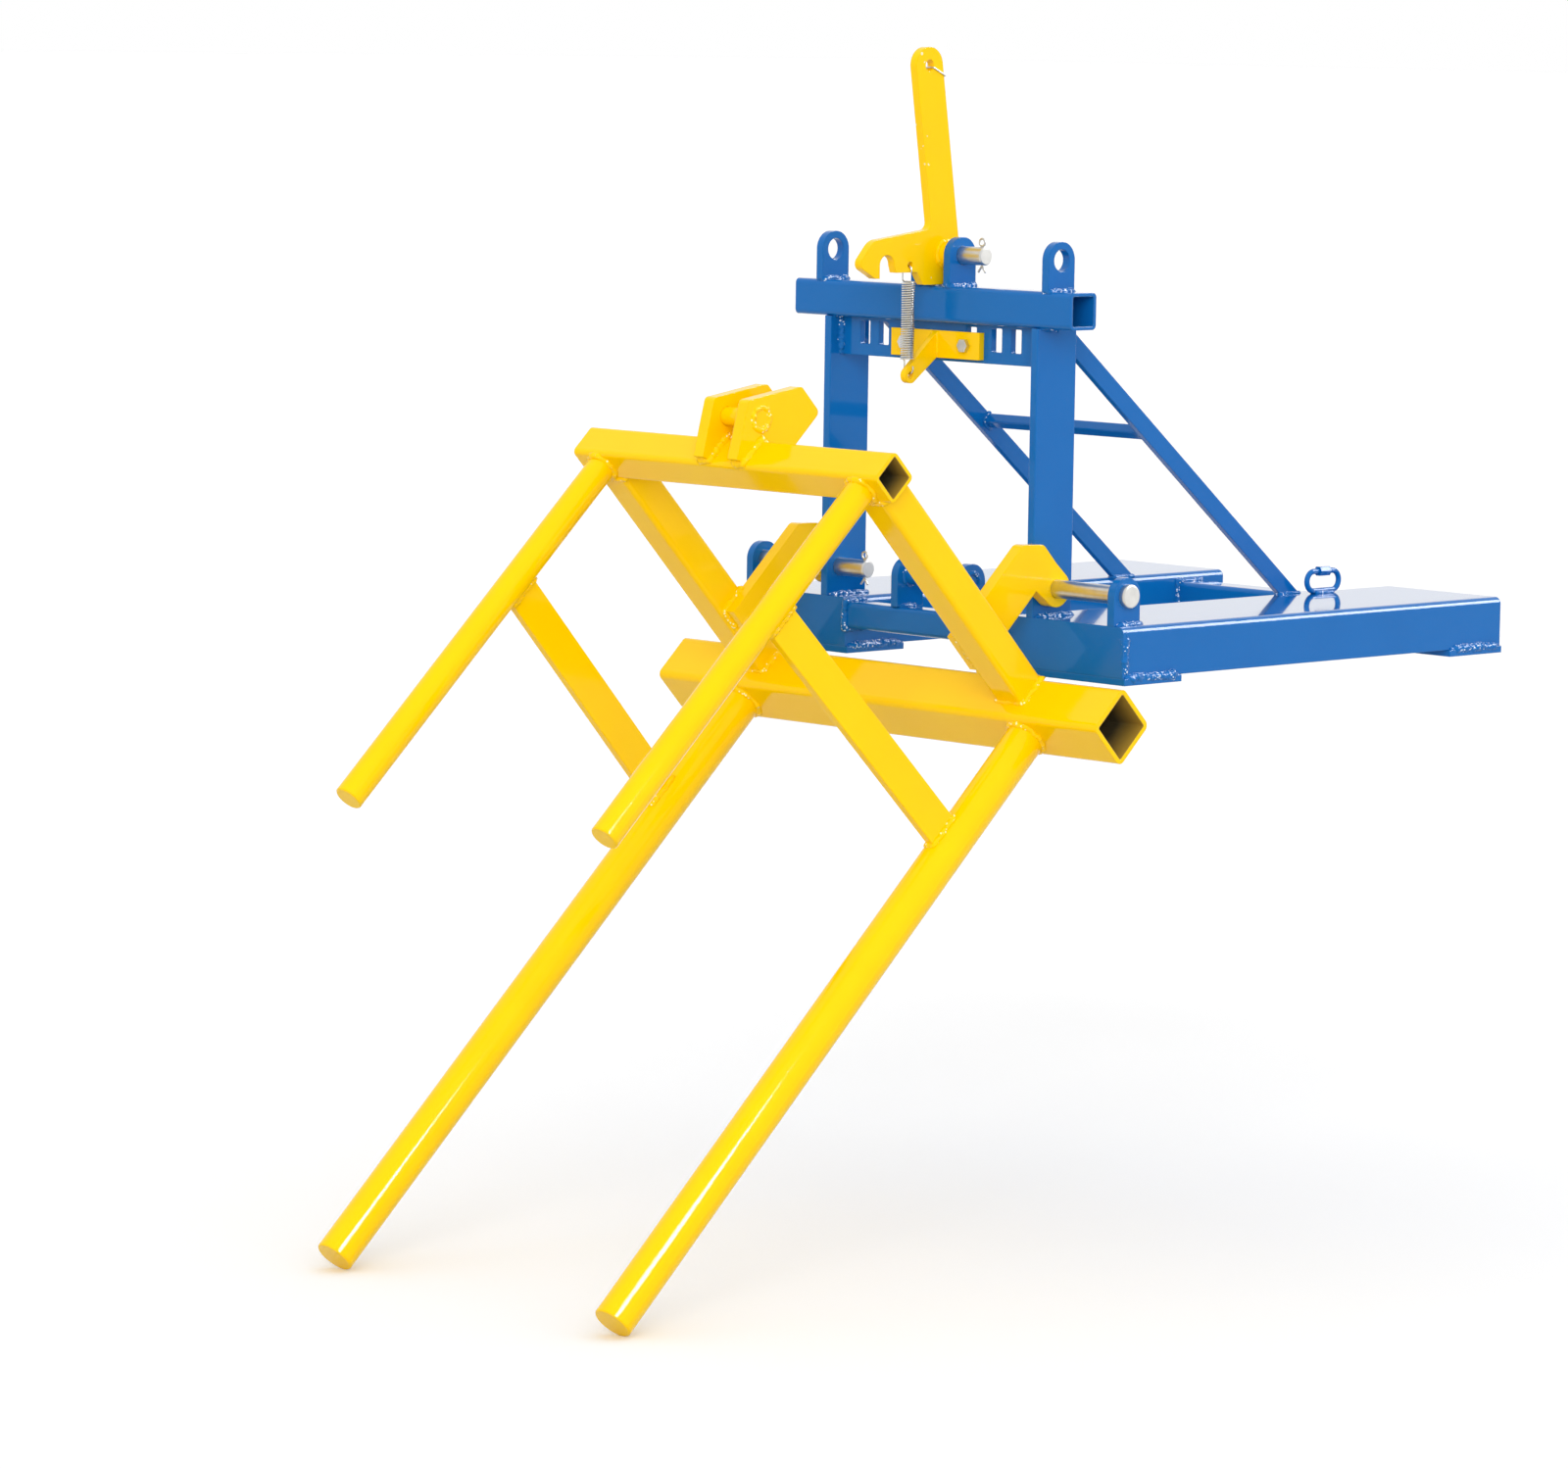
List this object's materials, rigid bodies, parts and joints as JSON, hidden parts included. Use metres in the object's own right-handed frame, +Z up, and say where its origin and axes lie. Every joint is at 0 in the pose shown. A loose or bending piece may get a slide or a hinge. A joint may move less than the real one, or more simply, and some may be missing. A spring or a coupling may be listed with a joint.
{
  "type": "drum positioner",
  "caption": "Fork-mounted drum positioner: channel pockets and an upright frame carry a hinged frame of round tines that tilts to take a drum and is held level by a sprung hook.",
  "frame": {"origin": "midway between the rear mouths of the two fork pockets, at the middle of their clear height", "axes": "+Y out of the pocket mouths towards the truck, +Z up, +X to the right as seen from the tines"},
  "size_m": [0.8636, 1.6342, 1.6567],
  "materials": {
    "blue_paint": "gloss blue enamel on welded steel",
    "yellow_paint": "gloss safety-yellow enamel on welded steel",
    "zinc": "bright zinc plate",
    "spring_steel": "bare drawn spring wire"
  },
  "bodies": {
    "base": {"fork_pocket_left": "blue_paint", "fork_pocket_right": "blue_paint", "front_strap_left": "blue_paint", "front_strap_right": "blue_paint", "rear_strap_left": "blue_paint", "rear_strap_right": "blue_paint", "front_tube": "blue_paint", "rear_tube": "blue_paint", "post_left": "blue_paint", "post_right": "blue_paint", "top_tube": "blue_paint", "slotted_plate": "blue_paint", "brace_left": "blue_paint", "brace_right": "blue_paint", "brace_tie": "blue_paint", "hinge_lug_left": "blue_paint", "hinge_lug_right": "blue_paint", "lifting_lug_left": "blue_paint", "lifting_lug_right": "blue_paint", "latch_lug_left": "blue_paint", "latch_lug_right": "blue_paint", "centre_lug_left": "blue_paint", "centre_lug_right": "blue_paint", "centre_bar": "blue_paint", "quick_link": "blue_paint", "hinge_pin_left": "zinc", "hinge_pin_right": "zinc", "hinge_cotter_left": "zinc", "hinge_cotter_right": "zinc", "latch_pin": "zinc", "latch_cotter": "zinc", "anchor_bolts": "zinc", "anchor_washers": "zinc", "anchor_nuts": "zinc", "anchor_plate": "yellow_paint", "anchor_arm": "yellow_paint", "latch_spring": "spring_steel"},
    "tine_frame": {"upper_tube": "yellow_paint", "lower_tube": "yellow_paint", "upright_left": "yellow_paint", "upright_right": "yellow_paint", "upper_tine_left": "yellow_paint", "upper_tine_right": "yellow_paint", "lower_tine_left": "yellow_paint", "lower_tine_right": "yellow_paint", "stop_bar_left": "yellow_paint", "stop_bar_right": "yellow_paint", "hinge_plate_left": "yellow_paint", "hinge_plate_right": "yellow_paint", "catch_plate_left": "yellow_paint", "catch_plate_right": "yellow_paint", "catch_pin": "yellow_paint"},
    "latch": {"latch_lever": "yellow_paint", "latch_hub": "yellow_paint", "handle_ring": "zinc"},
    "sleeve": {"link_sleeve": "blue_paint"}
  },
  "joints": [
    {"name": "frame_tilt", "type": "hinge", "parent": "base", "child": "tine_frame", "pos_m": [0, -0.7646, 0.0781], "axis": [1, 0, 0], "range_deg": [-43.6, 46.4]},
    {"name": "latch_pivot", "type": "hinge", "parent": "base", "child": "latch", "pos_m": [0, -0.7646, 0.5274], "axis": [-1, 0, 0], "range_deg": [0, 30], "stiffness_Nm_per_rad": 9, "springref_deg": -14.32, "deforming": ["latch_spring"]},
    {"name": "link_slide", "type": "slide", "parent": "base", "child": "sleeve", "axis": [0, 1, 0], "range_m": [0, 0.009]}
  ]
}
